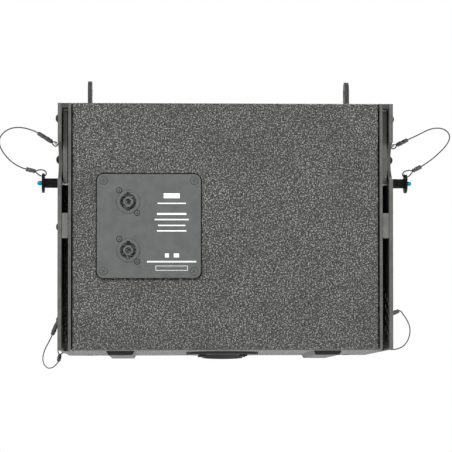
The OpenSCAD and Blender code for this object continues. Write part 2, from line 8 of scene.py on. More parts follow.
import bmesh
import bpy
import numpy as np
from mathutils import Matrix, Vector


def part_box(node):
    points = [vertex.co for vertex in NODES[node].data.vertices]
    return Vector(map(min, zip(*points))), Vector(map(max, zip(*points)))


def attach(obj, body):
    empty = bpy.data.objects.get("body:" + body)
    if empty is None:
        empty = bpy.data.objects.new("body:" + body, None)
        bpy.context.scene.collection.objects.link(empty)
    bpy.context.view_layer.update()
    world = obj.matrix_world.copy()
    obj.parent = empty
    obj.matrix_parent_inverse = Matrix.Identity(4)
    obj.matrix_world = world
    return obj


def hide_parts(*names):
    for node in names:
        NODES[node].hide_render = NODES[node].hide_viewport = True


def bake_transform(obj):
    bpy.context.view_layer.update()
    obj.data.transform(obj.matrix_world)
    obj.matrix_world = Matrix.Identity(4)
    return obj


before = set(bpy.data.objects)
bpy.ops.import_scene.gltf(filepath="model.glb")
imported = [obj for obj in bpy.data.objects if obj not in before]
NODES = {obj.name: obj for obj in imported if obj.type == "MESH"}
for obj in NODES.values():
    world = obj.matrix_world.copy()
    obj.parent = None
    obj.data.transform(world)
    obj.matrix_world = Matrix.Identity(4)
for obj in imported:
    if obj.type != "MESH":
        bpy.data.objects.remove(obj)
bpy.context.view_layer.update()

MM = 0.001
REAR_H = 261.3
WEDGE = math.tan(math.radians(5))
SIDE_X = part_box("outer_plate_right")[1].x / MM
REAR_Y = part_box("outer_plate_right")[0].y
PANEL_HALF_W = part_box("rear_panel")[1].x / MM
MID_Z = sum(corner.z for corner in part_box("rear_panel")) / 2
BASE_Z = MID_Z - REAR_H / 2 * MM


def at(x, depth, height):
    """A point of the drawing, in millimetres, as a point of the part's frame in metres."""
    return np.array([x * MM, REAR_Y + depth * MM, BASE_Z + height * MM])


def link_new(name, data):
    """A new object around its data, linked to the scene."""
    made = bpy.data.objects.new(name, data)
    bpy.context.scene.collection.objects.link(made)
    return made


# ---------------------------------------------------------------- camera, light and stage

CAMERA_SPOT = at(-70, -1738, 103)
CAMERA_AIM = at(0, 0, 131)
CAMERA_LENS = 130.6
SENSOR_W = 36
LAMP_AIM = at(0, 100, 130)
STAGE_CENTRE = at(0, 120, -330)
STAGE_R = 1.05


def aim(obj, target):
    """Turn a camera or lamp so that its -Z looks at the target."""
    way = Vector(target) - obj.location
    obj.rotation_euler = way.to_track_quat("-Z", "Y").to_euler()


def make_camera():
    data = bpy.data.cameras.new("rear_view")
    data.lens = CAMERA_LENS
    data.sensor_width = SENSOR_W
    data.clip_end = 50
    camera = link_new("rear_view", data)
    camera.location = CAMERA_SPOT
    aim(camera, CAMERA_AIM)
    bpy.context.scene.camera = camera


def make_lamp(name, spot, size, power):
    data = bpy.data.lights.new(name, "AREA")
    data.shape = "DISK"
    data.size = size
    data.energy = power
    lamp = link_new(name, data)
    lamp.location = spot
    aim(lamp, LAMP_AIM)


def make_stage():
    """A round pale floor, well below the cabinet, which is held up on a pole."""
    turn = np.linspace(0, 2 * math.pi, 96, endpoint=False)
    circle = np.stack([np.cos(turn), np.sin(turn), np.zeros_like(turn)], 1)
    rim = circle * STAGE_R + STAGE_CENTRE
    mesh = bpy.data.meshes.new("floor")
    mesh.from_pydata(rim.tolist(), [], [list(range(len(rim)))])
    floor = link_new("floor", mesh)
    floor.data.materials.append(studio_floor())


def light_studio():
    world = bpy.data.worlds.new("studio")
    world.use_nodes = True
    world.node_tree.nodes["Background"].inputs["Color"].default_value = (1, 1, 1, 1)
    world.node_tree.nodes["Background"].inputs["Strength"].default_value = 1.0
    bpy.context.scene.world = world
    bpy.context.scene.view_settings.view_transform = "Standard"
    make_lamp("key_left", at(-1100, -1300, 1150), 0.7, 26)
    make_lamp("fill_right", at(1200, -1300, 500), 0.9, 12)
    make_lamp("front_fill", at(600, 1600, 900), 0.9, 20)


# ---------------------------------------------------------------- material tools

def tint(hex_colour):
    """An sRGB hex colour as linear RGBA."""
    parts = [int(hex_colour[i:i + 2], 16) / 255 for i in (1, 3, 5)]
    return tuple(c / 12.92 if c <= 0.04045 else ((c + 0.055) / 1.055) ** 2.4 for c in parts) + (1.0,)


def add(tree, kind, sockets=None, **settings):
    """Add one shader node, set its properties, and set or link its input sockets."""
    made = tree.nodes.new(kind)
    for name, value in settings.items():
        setattr(made, name, value)
    for name, value in (sockets or {}).items():
        if isinstance(value, bpy.types.NodeSocket):
            tree.links.new(value, made.inputs[name])
        else:
            made.inputs[name].default_value = value
    return made


def new_finish(name, **shader):
    """A material with one Principled shader, whose plain values are given by socket name."""
    material = bpy.data.materials.new(name)
    material.use_nodes = True
    tree = material.node_tree
    tree.nodes.clear()
    output = tree.nodes.new("ShaderNodeOutputMaterial")
    bsdf = add(tree, "ShaderNodeBsdfPrincipled", {k.replace("_", " "): v for k, v in shader.items()})
    tree.links.new(bsdf.outputs["BSDF"], output.inputs["Surface"])
    return material, tree, bsdf


def object_place(tree):
    return add(tree, "ShaderNodeTexCoord").outputs["Object"]


def per_mm(size):
    """Noise scale in object metres for a pattern whose features are this many mm."""
    return 1 / (size * MM)


def noise(tree, place, size, detail=2.0, roughness=0.5):
    made = add(tree, "ShaderNodeTexNoise", {
        "Vector": place, "Scale": per_mm(size), "Detail": detail, "Roughness": roughness})
    return made.outputs["Fac"]


def ramp(tree, fac, *stops):
    """A colour ramp through (position, hex colour) stops."""
    made = add(tree, "ShaderNodeValToRGB", {"Fac": fac})
    bands = made.color_ramp.elements
    while len(bands) < len(stops):
        bands.new(0.5)
    for band, (position, hex_colour) in zip(bands, stops):
        band.position = position
        band.color = tint(hex_colour)
    return made.outputs["Color"]


def spread(tree, fac, low, high, to_low=0.0, to_high=1.0):
    """Stretch a value from low..high to to_low..to_high."""
    return add(tree, "ShaderNodeMapRange", {
        "Value": fac, "From Min": low, "From Max": high, "To Min": to_low, "To Max": to_high,
    }).outputs["Result"]


def tinted_product(tree, first, second):
    """The product of two colours."""
    made = add(tree, "ShaderNodeVectorMath", {0: first, 1: second}, operation="MULTIPLY")
    return made.outputs["Vector"]


def bump(tree, bsdf, height, depth_mm):
    """Raise the surface by a height of 0..1 times depth_mm."""
    made = add(tree, "ShaderNodeBump", {"Height": height, "Distance": depth_mm * MM, "Strength": 1.0})
    tree.links.new(made.outputs["Normal"], bsdf.inputs["Normal"])


# ---------------------------------------------------------------- finishes

def studio_floor():
    # matt studio board: even white with a faint mottle
    material, tree, bsdf = new_finish("studio_board", Roughness=0.9)
    colour = ramp(tree, noise(tree, object_place(tree), 60), (0.3, "#e6e6e6"), (0.7, "#eeeeee"))
    tree.links.new(colour, bsdf.inputs["Base Color"])
    return material


def textured_cabinet_coating():
    # two-part polyurea coating sprayed coarse on plywood, itself black: pebbles of 1.5 to 2 mm, with a
    # painted highlight on each pebble's top and painted shade, near black, in its pits
    material, tree, bsdf = new_finish("textured_cabinet_coating", Roughness=0.46)
    place = object_place(tree)
    pebble = noise(tree, place, 1.5, 3.0, 0.7)
    grit = noise(tree, place, 0.7, 1.0)
    patch = noise(tree, place, 45, 2.0)
    # painted light: the ramp paints a highlight, pale grey, on pebble tops and shade, near black, in
    # the pits
    colour = ramp(tree, pebble, (0.43, "#040404"), (0.53, "#262625"), (0.6, "#888884"))
    cloud = ramp(tree, patch, (0.3, "#dedede"), (0.7, "#ffffff"))
    body = tinted_product(tree, colour, cloud)
    tree.links.new(body, bsdf.inputs["Base Color"])
    tree.links.new(spread(tree, grit, 0.35, 0.65, 0.34, 0.62), bsdf.inputs["Roughness"])
    height = add(tree, "ShaderNodeMath", {0: pebble, 1: grit}, operation="ADD").outputs["Value"]
    bump(tree, bsdf, height, 0.55)
    return material


def powder_coat(name, dark, light, sheen_rough=0.5, peel=0.03, wear="#8d8d8a"):
    # baked powder coat: fine orange peel near 0.8 mm, slightly uneven gloss, scuffs of paler metal
    material, tree, bsdf = new_finish(name)
    place = object_place(tree)
    peel_noise = noise(tree, place, 0.8, 1.0)
    mottle = noise(tree, place, 9, 3.0, 0.6)
    scuff = noise(tree, place, 3.2, 5.0, 0.75)
    base = ramp(tree, mottle, (0.35, dark), (0.65, light))
    mask = spread(tree, scuff, 0.66, 0.74)
    worn = add(tree, "ShaderNodeMix", {0: mask, 6: base, 7: tint(wear)}, data_type="RGBA")
    tree.links.new(worn.outputs[2], bsdf.inputs["Base Color"])
    tree.links.new(spread(tree, mottle, 0.3, 0.7, sheen_rough - 0.06, sheen_rough + 0.08),
                   bsdf.inputs["Roughness"])
    bump(tree, bsdf, peel_noise, peel)
    return material


def moulded_plastic(name, dark, light, rough=0.45, grain=0.5, specular=0.5):
    # spark-eroded mould texture: fine even grain with soft highlights
    material, tree, bsdf = new_finish(name, Specular_IOR_Level=specular)
    place = object_place(tree)
    tree.links.new(ramp(tree, noise(tree, place, 14, 3.0), (0.35, dark), (0.65, light)),
                   bsdf.inputs["Base Color"])
    tree.links.new(spread(tree, noise(tree, place, 2.5, 4.0), 0.3, 0.7, rough - 0.08, rough + 0.08),
                   bsdf.inputs["Roughness"])
    bump(tree, bsdf, noise(tree, place, grain, 1.0), 0.02)
    return material


def plated_metal(name, dark, light, rough=0.3, drawn=(1, 1, 1)):
    # plated or anodised metal: fine drawn lines of uneven gloss along the turned direction
    material, tree, bsdf = new_finish(name, Metallic=1.0)
    place = object_place(tree)
    lines = add(tree, "ShaderNodeMapping", {"Vector": place, "Scale": drawn}).outputs["Vector"]
    streak = noise(tree, lines, 0.6, 3.0, 0.6)
    tree.links.new(ramp(tree, streak, (0.3, dark), (0.7, light)), bsdf.inputs["Base Color"])
    tree.links.new(spread(tree, streak, 0.3, 0.7, rough - 0.07, rough + 0.1), bsdf.inputs["Roughness"])
    bump(tree, bsdf, streak, 0.012)
    return material


def foam(name, dark, light, cell):
    # open-cell foam: dark round cells between paler struts
    material, tree, bsdf = new_finish(name, Roughness=0.95)
    place = object_place(tree)
    voronoi = add(tree, "ShaderNodeTexVoronoi", {"Vector": place, "Scale": per_mm(cell)})
    cells = voronoi.outputs["Distance"]
    tree.links.new(ramp(tree, cells, (0.1, dark), (0.6, light)), bsdf.inputs["Base Color"])
    bump(tree, bsdf, cells, 0.6)
    return material


def woven(name, dark, light, pitch):
    # doped cloth: two crossing sets of threads at the given pitch
    material, tree, bsdf = new_finish(name, Roughness=0.8)
    place = object_place(tree)
    threads = []
    for direction in ("X", "Z"):
        wave = add(tree, "ShaderNodeTexWave", {
            "Vector": place, "Scale": per_mm(pitch) / (2 * math.pi), "Distortion": 1.0,
        }, bands_direction=direction)
        threads.append(wave.outputs["Fac"])
    upper = add(tree, "ShaderNodeMath", {0: threads[0], 1: threads[1]}, operation="MAXIMUM")
    weave = upper.outputs["Value"]
    tree.links.new(ramp(tree, weave, (0.2, dark), (0.8, light)), bsdf.inputs["Base Color"])
    bump(tree, bsdf, weave, 0.2)
    return material


def plywood():
    # sanded birch plywood: long pale figure with thin darker veins
    material, tree, bsdf = new_finish("sanded_birch_plywood", Roughness=0.7)
    stretched = add(tree, "ShaderNodeMapping", {"Vector": object_place(tree), "Scale": (1, 1, 0.12)})
    grain = noise(tree, stretched.outputs["Vector"], 4, 6.0, 0.6)
    tree.links.new(ramp(tree, grain, (0.3, "#7a5a34"), (0.7, "#b08c5a")), bsdf.inputs["Base Color"])
    bump(tree, bsdf, grain, 0.08)
    return material


def coated_rope():
    # nylon-coated wire rope: black, slightly waxy, the lay shows as bright and dull turns
    material, tree, bsdf = new_finish("nylon_coated_rope", Roughness=0.4, Coat_Weight=0.2)
    place = object_place(tree)
    tree.links.new(ramp(tree, noise(tree, place, 0.7, 2.0), (0.3, "#121212"), (0.7, "#3a3a3a")),
                   bsdf.inputs["Base Color"])
    bump(tree, bsdf, noise(tree, place, 0.4, 1.0), 0.03)
    return material


def print_ink():
    # screen-printed white ink: thin, matt, a little uneven at the mesh of the screen
    material, tree, bsdf = new_finish("screen_print_ink", Roughness=0.6)
    cover = noise(tree, object_place(tree), 0.8, 2.0)
    tree.links.new(ramp(tree, cover, (0.35, "#c9c9c9"), (0.6, "#ececec")), bsdf.inputs["Base Color"])
    return material


FINISHES = {
    "coating": textured_cabinet_coating(),
    "rigging": powder_coat("grey_powder_coat", "#3d3d3b", "#4b4b48", wear="#666663"),
    # link bars and spacer blocks are black powder coat; this paler copy paints the studio's reflection
    # on their flat rear faces
    "link": powder_coat("black_coat_painted_reflection", "#4a4a48", "#5b5b59", wear="#7a7a78"),
    "black_coat": powder_coat("black_powder_coat", "#1c1c1b", "#282827", wear="#3f3f3e"),
    "plate": powder_coat("flat_plate_enamel", "#434544", "#4b4d4c", 0.55, 0.02, "#525453"),
    "screws": plated_metal("black_zinc_screws", "#141414", "#2e2e2e", 0.38),
    "zinc": plated_metal("bright_zinc", "#8c8c8a", "#b9b9b6", 0.3),
    "shank": plated_metal("stainless_shank", "#8f9092", "#c4c5c8", 0.25, (0.1, 1, 1)),
    "handle": plated_metal("black_anodised_handle", "#101010", "#262626", 0.36, (0.15, 1, 1)),
    "button": plated_metal("blue_anodised_button", "#0f5f80", "#2490ac", 0.34),
    "rubber": moulded_plastic("gasket_rubber", "#0e0e0e", "#181818", 0.8, 0.9),
    "socket": moulded_plastic("black_nylon_socket", "#040404", "#0a0a0a", 0.5, specular=0.12),
    "core": moulded_plastic("grey_nylon_core", "#3f4044", "#5a5b60", 0.45),
    "skid": moulded_plastic("black_skid", "#111111", "#1d1d1d", 0.5, 0.8),
    "board": moulded_plastic("green_solder_mask", "#1f4a2c", "#2f6a40", 0.35),
    "parts": moulded_plastic("amber_windings", "#7d4a1c", "#b9762f", 0.35),
    "loom": moulded_plastic("red_lead_sheath", "#6d211d", "#8f302a", 0.4),
    "cone": moulded_plastic("pressed_paper_cone", "#161616", "#262626", 0.75, 1.2),
    "grille": powder_coat("grille_powder_coat", "#191919", "#242424", 0.5, 0.02, "#2c2c2c"),
    "grille_foam": foam("grille_foam", "#050505", "#1c1c1c", 0.9),
    "absorber": foam("absorber_foam", "#2d2d2a", "#66665f", 1.6),
    "surround": woven("doped_surround_cloth", "#0c0c0c", "#222222", 0.7),
    "spider": woven("phenolic_spider_cloth", "#8a6f38", "#c9ac6b", 0.8),
    "plywood": plywood(),
    "rope": coated_rope(),
    "ink": print_ink(),
}


def finish_node(name, finish):
    """Give a CAD node's object one finish."""
    slots = NODES[name].data.materials
    slots.clear()
    slots.append(FINISHES[finish])


# ---------------------------------------------------------------- mesh tools

SHARP_ANGLE = 38


def piece(name, vertices, faces, finish, body="cabinet", smooth=True):
    """A new object at the origin from arrays of points and faces, riding on a body."""
    mesh = bpy.data.meshes.new(name)
    mesh.from_pydata(np.asarray(vertices).tolist(), [], [list(map(int, f)) for f in faces])
    mesh.validate()
    mesh.materials.append(FINISHES[finish])
    if smooth:
        mesh.shade_smooth()
    made = link_new(name, mesh)
    if body:
        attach(made, body)
    return made


def grid_faces(rows, columns, wrap=False):
    """Quads of a grid of points stored row by row; wrap joins the last column to the first."""
    r, c = np.meshgrid(np.arange(rows - 1), np.arange(columns if wrap else columns - 1), indexing="ij")
    nxt = (c + 1) % columns
    return np.stack([r * columns + c, r * columns + nxt,
                     (r + 1) * columns + nxt, (r + 1) * columns + c], -1).reshape(-1, 4)


def merge_flat(work, gap):
    """Merge points closer than gap metres, and dissolve the edges between flat faces."""
    bmesh.ops.remove_doubles(work, verts=work.verts, dist=gap)
    bmesh.ops.dissolve_limit(work, angle_limit=math.radians(0.5), verts=work.verts, edges=work.edges)


def mesh_of(work, name):
    """A new mesh with a bmesh's faces; the bmesh is freed."""
    mesh = bpy.data.meshes.new(name)
    work.to_mesh(mesh)
    work.free()
    return mesh


def cleaned_copy(node, name):
    """A new mesh with the faces of a CAD node, merged and flattened."""
    work = bmesh.new()
    work.from_mesh(NODES[node].data)
    merge_flat(work, 1e-6)
    return mesh_of(work, name)


def round_edges(made, width, segments, angle):
    """Round the edges sharper than an angle in degrees to a width in mm, and smooth the rest."""
    bevel = made.modifiers.new("edge", "BEVEL")
    bevel.width = width * MM
    bevel.segments = segments
    bevel.limit_method = "ANGLE"
    bevel.angle_limit = math.radians(angle)
    made.data.shade_smooth()
    made.data.set_sharp_from_angle(angle=math.radians(angle))


def soften(name, width, finish, body):
    """A copy of a CAD node with its sharp edges rounded to the given width in mm."""
    mesh = cleaned_copy(name, name + "_finished")
    mesh.materials.clear()
    mesh.materials.append(FINISHES[finish])
    made = link_new(mesh.name, mesh)
    round_edges(made, width, 2, SHARP_ANGLE)
    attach(made, body)
    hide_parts(name)
    return made


def slotted(made):
    """Pass the piece on unchanged."""
    return made


def outward_faces(made):
    """Turn every closed shell's faces outwards."""
    work = bmesh.new()
    work.from_mesh(made.data)
    bmesh.ops.recalc_face_normals(work, faces=work.faces)
    work.to_mesh(made.data)
    work.free()


def smooth_path(points, step):
    """Catmull-Rom curve through the points, sampled evenly at about the given step."""
    p = np.asarray(points, float)
    p = np.vstack([2 * p[0] - p[1], p, 2 * p[-1] - p[-2]])
    t = np.linspace(0, 1, 40, endpoint=False)[:, None, None]
    a, b, c, d = p[:-3], p[1:-2], p[2:-1], p[3:]
    curve = 0.5 * (2 * b + (c - a) * t + (2 * a - 5 * b + 4 * c - d) * t**2
                   + (3 * b - a - 3 * c + d) * t**3)
    curve = np.vstack([curve.transpose(1, 0, 2).reshape(-1, 3), p[-2]])
    run = np.concatenate([[0], np.cumsum(np.linalg.norm(np.diff(curve, axis=0), axis=1))])
    marks = np.linspace(0, run[-1], max(3, int(run[-1] / step) + 1))
    return np.stack([np.interp(marks, run, curve[:, k]) for k in range(3)], 1)


def path_length(path):
    return float(np.linalg.norm(np.diff(path, axis=0), axis=1).sum())


def sweep(path, radius, sides, across, closed=False):
    """Tube points: radius(along, turn) round each path point, in the plane square to the path.

    across is a direction that the path never runs along; it fixes where the turn starts.
    """
    if closed:
        way = np.roll(path, -1, axis=0) - np.roll(path, 1, axis=0)
    else:
        way = np.gradient(path, axis=0)
    way /= np.linalg.norm(way, axis=1, keepdims=True)
    u = np.cross(way, across)
    u /= np.linalg.norm(u, axis=1, keepdims=True)
    v = np.cross(way, u)
    steps = np.linalg.norm(np.diff(path, axis=0), axis=1)
    along = np.concatenate([[0], np.cumsum(steps)])[:, None]
    turn = np.linspace(0, 2 * math.pi, sides, endpoint=False)[None, :]
    r = radius(along, turn) * np.ones((len(path), sides))
    return (path[:, None, :] + r[..., None] * (np.cos(turn)[..., None] * u[:, None, :]
            + np.sin(turn)[..., None] * v[:, None, :])).reshape(-1, 3)


def tube(name, path, radius, sides, across, finish, body, closed=False):
    """A swept tube as a piece, with flat caps unless it is a closed ring."""
    points = sweep(path, radius, sides, across, closed)
    faces = grid_faces(len(path), sides, wrap=True)[:, ::-1].tolist()
    last = (len(path) - 1) * sides
    if closed:
        k = np.arange(sides)
        n = (k + 1) % sides
        faces += np.stack([k, n, last + n, last + k], 1).tolist()
    else:
        faces += [list(range(sides)), list(range(last + sides - 1, last - 1, -1))]
    return piece(name, points, faces, finish, body)


# ---------------------------------------------------------------- lanyards

ROPE_R = 0.72
SLEEVE_R = 2.5
PIN_EYE = (5.9, 4.0)
ANCHOR_EYE = (3.3, 2.5)
SLEEVE_GAP = 3.1
STRANDS = 6
LAY = 6
ACROSS = (1.0, 0.0, 0.0)
UP = (0.0, 0.0, 1.0)
LEANING = (0.0, math.sin(math.radians(47)), math.cos(math.radians(47)))
PIN_H = 177.2
LOWER_PIN_H = 12.7 - 223 * WEDGE

# Routes as [distance out from the side, depth, height], from the sleeve's end to the ferrule.
# anchor_wide and pin_wide say which way each eye is wide, and across fixes the rope's turn.
LANYARDS = {
    "upper_left": dict(
        side=-1, anchor=[4.6, 24, 219.5], anchor_wide=UP, pin=[24, PIN_H], pin_wide=UP,
        eye_out=19.4, eye_far=11.2, eye_tilt=180, across=(0, 1, 0),
        route=[[22.7, 24, 231.1], [31, 24, 234.6], [38, 23.5, 236.3], [45, 23, 236.7],
               [52, 22.5, 235.3], [58.3, 22, 231.6], [62.3, 22, 226.7], [63.5, 22, 222],
               [62.6, 22, 216.3], [59, 22.3, 209.5], [53, 22.8, 202.3], [46.5, 23.4, 197.2],
               [40.5, 23.8, 194.1], [35.3, 24, 192.3]]),
    "upper_right": dict(
        side=1, anchor=[4.6, 24, 217.5], anchor_wide=UP, pin=[24, PIN_H], pin_wide=UP,
        eye_out=19.4, eye_far=11.2, eye_tilt=180, across=(0, 1, 0),
        route=[[19.6, 24, 224.9], [26, 24, 227.8], [33.5, 23.6, 231.5], [41.1, 23, 235.2],
               [47, 22.6, 236.9], [52.5, 22.2, 237.3], [58, 22, 236.2], [62.5, 22, 233],
               [64.6, 22, 228.6], [63.5, 22, 223.2], [59.5, 22.2, 217], [53.9, 22.6, 211.2],
               [47, 23.2, 204.9], [40.2, 23.7, 199.9], [34.1, 24, 195.9]]),
    "lower_left": dict(
        side=-1, anchor=[4.6, 92, 28], anchor_wide=ACROSS, pin=[223, LOWER_PIN_H], pin_wide=ACROSS,
        eye_out=9.4, eye_far=12, eye_tilt=52, across=(1, 0, 0.2),
        route=[[11.7, 97, 11], [15.5, 102, 3.5], [19.5, 108, -3.6], [22.2, 115, -9.8],
               [23.9, 125, -16.4], [24.2, 135, -21.8], [23.3, 144, -25.8], [21, 156, -29.6],
               [18.2, 168, -30.8], [15.2, 180, -30], [12.6, 191, -27.6], [10.9, 200.6, -24.6]]),
    "lower_right": dict(
        side=1, anchor=[4.6, 92, 31], anchor_wide=LEANING, pin=[223, LOWER_PIN_H], pin_wide=ACROSS,
        eye_out=9.4, eye_far=12, eye_tilt=80, across=(0.3, 0, 1),
        route=[[20.5, 99, 37.5], [26.5, 104, 32.3], [31.6, 111, 25.8], [35.3, 118, 19],
               [37.1, 126, 12.3], [37.3, 134, 6.3], [36.4, 143, 0.3], [34.2, 152, -4.5],
               [31, 161, -8], [27, 171, -10.2], [22.5, 181, -11.2], [19.3, 188.5, -11.4],
               [16.5, 195.7, -11.3]]),
}


def lay_radius(along, turn):
    """Strands laid round the core: the radius swells on each strand, one turn in LAY mm."""
    phase = STRANDS * (turn - 2 * math.pi * along / (LAY * MM)) / 2
    return ROPE_R * MM * (0.88 + 0.12 * np.abs(np.cos(phase)))


def swaged_radius(length, lumps):
    """Heat-shrunk sleeve over a crimp: lumps along it, tapered at both ends."""
    def radius(along, turn):
        share = along / length
        ends = np.clip(np.minimum(share, 1 - share) * 9, 0, 1)
        wave = 0.06 * np.cos(2 * math.pi * lumps * share) + 0.05 * np.cos(2 * turn + 5 * share)
        return SLEEVE_R * MM * (0.52 + 0.48 * np.sqrt(ends)) * (0.95 + wave)
    return radius


def straight(start, end, step=0.35 * MM):
    """Evenly spaced points on a straight line."""
    count = max(4, int(np.linalg.norm(end - start) / step))
    return start + np.linspace(0, 1, count)[:, None] * (end - start)


def teardrop(centre, along, wide, long_r, wide_r):
    """Closed loop whose point faces along: long_r cos t and wide_r sin t sin(t/2)^0.7."""
    t = np.linspace(0, 2 * math.pi, 72, endpoint=False)[:, None]
    return centre + along * long_r * np.cos(t) + wide * wide_r * np.sin(t) * np.sin(t / 2) ** 0.7


def unit(v):
    return v / np.linalg.norm(v)


def make_lanyard(name, side, anchor, anchor_wide, pin, pin_wide, eye_out, eye_far, eye_tilt,
                 across, route):
    """Rope from the anchor's eye to the pin's eye, with a shrunk sleeve and a crimped ferrule."""
    def place(p):
        return at(side * (SIDE_X + p[0]), p[1], p[2])

    def sleeved(label, start, end, lumps, rider):
        line = straight(start, end)
        radius = swaged_radius(path_length(line), lumps)
        return tube(f"{label}_{name}", line, radius, 20, across, "rope", rider)

    def eye_loop(label, centre, goal, sideways, size, rider):
        along = unit(goal - centre)
        wide = unit(sideways - along * (sideways @ along))
        loop = teardrop(centre, along, wide, size[0] * MM, size[1] * MM)
        turn_axis = np.cross(along, wide)
        return tube(f"{label}_{name}", loop, lay_radius, 14, turn_axis, "rope", rider, True)

    level, hand = name.split("_")
    body = f"{level}_pin_{hand}_body"
    node = "lanyard_" + name
    lean = math.radians(eye_tilt)
    ring = [eye_out, pin[0] - eye_far * math.sin(lean), pin[1] - eye_far * math.cos(lean)]
    hook, eye = place(anchor), place(ring)
    first, last = place(route[0]), place(route[-1])
    sleeve_start = hook + unit(first - hook) * SLEEVE_GAP * MM
    ferrule_end = eye + unit(last - eye) * PIN_EYE[0] * MM
    path = smooth_path([sleeve_start] + [place(p) for p in route] + [ferrule_end], 0.4 * MM)
    rope = tube(f"rope_{name}", path, lay_radius, 18, across, "rope", None)
    sleeve = sleeved("sleeve", sleeve_start, first, 3, "cabinet")
    ferrule = sleeved("ferrule", last, ferrule_end, 2, body)
    loops = [eye_loop("anchor_eye", hook, first, np.array(anchor_wide), ANCHOR_EYE, "cabinet"),
             eye_loop("pin_eye", eye, last, np.array(pin_wide), PIN_EYE, body)]
    for part in (sleeve, ferrule, *loops):
        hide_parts(node)
    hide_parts(node)
    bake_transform(rope)


# ---------------------------------------------------------------- cabinet

BOARDS = ["top_panel", "bottom_panel", "side_panel_left", "side_panel_right",
          "rear_side_left", "rear_side_right"]
COAT_ROUNDING = 2.2
COAT_SHARP_ANGLE = 40


def make_cabinet_shell():
    """One coated shell from the boards: their union, with every outer edge rounded."""
    boards = [link_new("board_" + name, cleaned_copy(name, "board")) for name in BOARDS]
    shell = boards[0]
    for board in boards[1:]:
        union = shell.modifiers.new("join", "BOOLEAN")
        union.operation = "UNION"
        union.solver = "EXACT"
        union.object = board
    graph = bpy.context.evaluated_depsgraph_get()
    joined = bpy.data.meshes.new_from_object(shell.evaluated_get(graph))
    for board in boards:
        bpy.data.objects.remove(board)
    work = bmesh.new()
    work.from_mesh(joined)
    merge_flat(work, 2e-6)
    work.to_mesh(joined)
    work.free()
    joined.materials.clear()
    joined.materials.append(FINISHES["coating"])
    made = link_new("cabinet_shell", joined)
    round_edges(made, COAT_ROUNDING, 3, COAT_SHARP_ANGLE)
    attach(made, "cabinet")
    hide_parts(*BOARDS)


# ---------------------------------------------------------------- rear panel

PLATE_CENTRE = (-81.7, 131.0)
RECESS_HALF_W = 56.3
RECESS_TOP = 56.3
RECESS_LOW = 57.7
RECESS_DEPTH = 4.0
RECESS_CORNER_R = 8.3
BOARD_T = 15.0
EDGE_ROLL = 3.0
ROLL_STEPS = 4
PANEL_PITCH = 0.95
PEBBLE_RISE = 0.34
PEBBLE_SIZE = 1.9
PEBBLE_SEED = 11
PEBBLE_FADE = 3


def pebble_field(rows, columns, pitch, size, seed):
    """Random heights of -1..1 whose bumps are about size across.

    White noise is kept to the band exp(-((f - 0.55) / 0.35)^2) of its frequencies f, counted in
    bumps of the given size.
    """
    values = np.random.default_rng(seed).standard_normal((rows, columns))
    fy = np.fft.fftfreq(rows, pitch)[:, None]
    fx = np.fft.rfftfreq(columns, pitch)[None, :]
    f = np.hypot(fy, fx) * size
    band = np.exp(-((f - 0.55) / 0.35) ** 2)
    smooth = np.fft.irfft2(np.fft.rfft2(values) * band, s=(rows, columns))
    return np.clip(smooth / (2.2 * smooth.std()), -1, 1)


def lines_between(low, high, pitch):
    return np.linspace(low, high, max(2, round((high - low) / pitch) + 1))


def panel_lines(start, low, high, end):
    """Grid lines from start to end that also pass along low and high, the recess's sides."""
    spans = [lines_between(a, b, PANEL_PITCH) for a, b in ((start, low), (low, high), (high, end))]
    return np.unique(np.concatenate(spans).round(6))


def add_pebbled_face(work, xs, zs):
    """Faces of the pebbled front less the recess, flat at every rim."""
    px, pz = PLATE_CENTRE
    x, z = np.meshgrid(xs, zs)
    heights = pebble_field(len(zs), len(xs), PANEL_PITCH, PEBBLE_SIZE, PEBBLE_SEED)
    edge = np.minimum(np.minimum(x - xs[0], xs[-1] - x), np.minimum(z - zs[0], zs[-1] - z))
    beside = np.abs(x - px) - RECESS_HALF_W
    above = np.maximum(pz - RECESS_LOW - z, z - pz - RECESS_TOP)
    edge = np.minimum(edge, np.maximum(beside, above).clip(0))
    depth = PEBBLE_RISE * (1 - heights) / 2 * np.clip(edge / PEBBLE_FADE, 0, 1)
    verts = [work.verts.new(at(a, d, h)) for a, d, h in zip(x.ravel(), depth.ravel(), z.ravel())]
    mid_x, mid_z = (xs[:-1] + xs[1:]) / 2, (zs[:-1] + zs[1:]) / 2
    hole_x = np.abs(mid_x - px) < RECESS_HALF_W
    hole_z = (mid_z > pz - RECESS_LOW) & (mid_z < pz + RECESS_TOP)
    solid = ~(hole_x[None, :] & hole_z[:, None])
    for quad in grid_faces(len(zs), len(xs))[solid.ravel()]:
        work.faces.new([verts[i] for i in quad])
    bmesh.ops.delete(work, geom=[v for v in verts if not v.link_faces], context="VERTS")


def near_recess(edge):
    """Whether an edge's middle lies on the recess's outline."""
    middle = (edge.verts[0].co + edge.verts[1].co) / 2
    centre = at(PLATE_CENTRE[0], 0, PLATE_CENTRE[1])
    reach = (RECESS_HALF_W + 3) * MM
    return abs(middle.x - centre[0]) < reach and abs(middle.z - centre[2]) < reach


def grow_rim(work, edges, out, back):
    """Extrude rim edges: out away from the panel's middle, back into the depth, both in mm."""
    side_x = (PANEL_HALF_W - EDGE_ROLL - 0.01) * MM
    end_z = (REAR_H / 2 - EDGE_ROLL - 0.01) * MM
    grown = bmesh.ops.extrude_edge_only(work, edges=edges)["geom"]
    for v in (g for g in grown if isinstance(g, bmesh.types.BMVert)):
        v.co.y += back * MM
        if out and abs(v.co.x) > side_x:
            v.co.x += math.copysign(out * MM, v.co.x)
        if out and abs(v.co.z - MID_Z) > end_z:
            v.co.z += math.copysign(out * MM, v.co.z - MID_Z)
    return [g for g in grown if isinstance(g, bmesh.types.BMEdge)]


